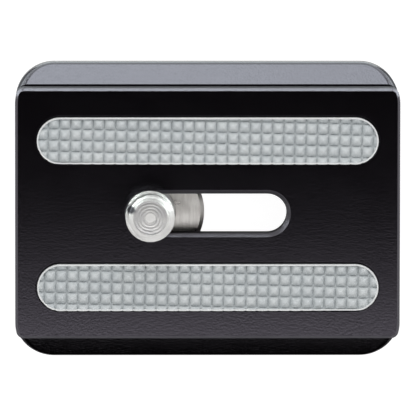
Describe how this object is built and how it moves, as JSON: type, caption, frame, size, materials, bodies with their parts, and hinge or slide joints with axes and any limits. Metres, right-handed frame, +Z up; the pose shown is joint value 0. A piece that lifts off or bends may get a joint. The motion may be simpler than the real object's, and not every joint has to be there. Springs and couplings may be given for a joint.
{
  "type": "tripod quick release plate",
  "caption": "Black dovetail camera plate with two pyramid-faced rubber grip strips and a captive camera screw that slides along a slot and turns by a folding wire ring.",
  "frame": {"origin": "centre of the base face, on the surface the plate rests on", "axes": "+X along the dovetail and the slot, +Y towards the rear pad, +Z up towards the camera"},
  "size_m": [0.05, 0.0386, 0.0153],
  "materials": {
    "anodised_plate": "black anodised, fine satin",
    "pad_rubber": "light grey moulded, matte",
    "turned_steel": "turned, bright",
    "washer_steel": "stamped, mill finish",
    "ring_wire": "drawn wire, polished",
    "set_screw_steel": "black oxide"
  },
  "bodies": {
    "plate": {"plate_body": "anodised_plate", "rear_grip_pad": "pad_rubber", "front_grip_pad": "pad_rubber", "right_stop_screw": "set_screw_steel", "left_stop_screw": "set_screw_steel"},
    "washer": {"screw_washer": "washer_steel"},
    "screw": {"camera_screw": "turned_steel"},
    "ring": {"d_ring": "ring_wire"}
  },
  "joints": [
    {"name": "screw_slide", "type": "slide", "parent": "plate", "child": "washer", "axis": [1, 0, 0], "range_m": [0, 0.015]},
    {"name": "screw_turn", "type": "hinge", "parent": "washer", "child": "screw", "pos_m": [-0.0075, 0, 0.005], "axis": [0, 0, 1], "continuous": true},
    {"name": "ring_fold", "type": "hinge", "parent": "screw", "child": "ring", "pos_m": [-0.0075, 0, 0.0029], "axis": [0, 1, 0], "range_deg": [0, 180]}
  ]
}
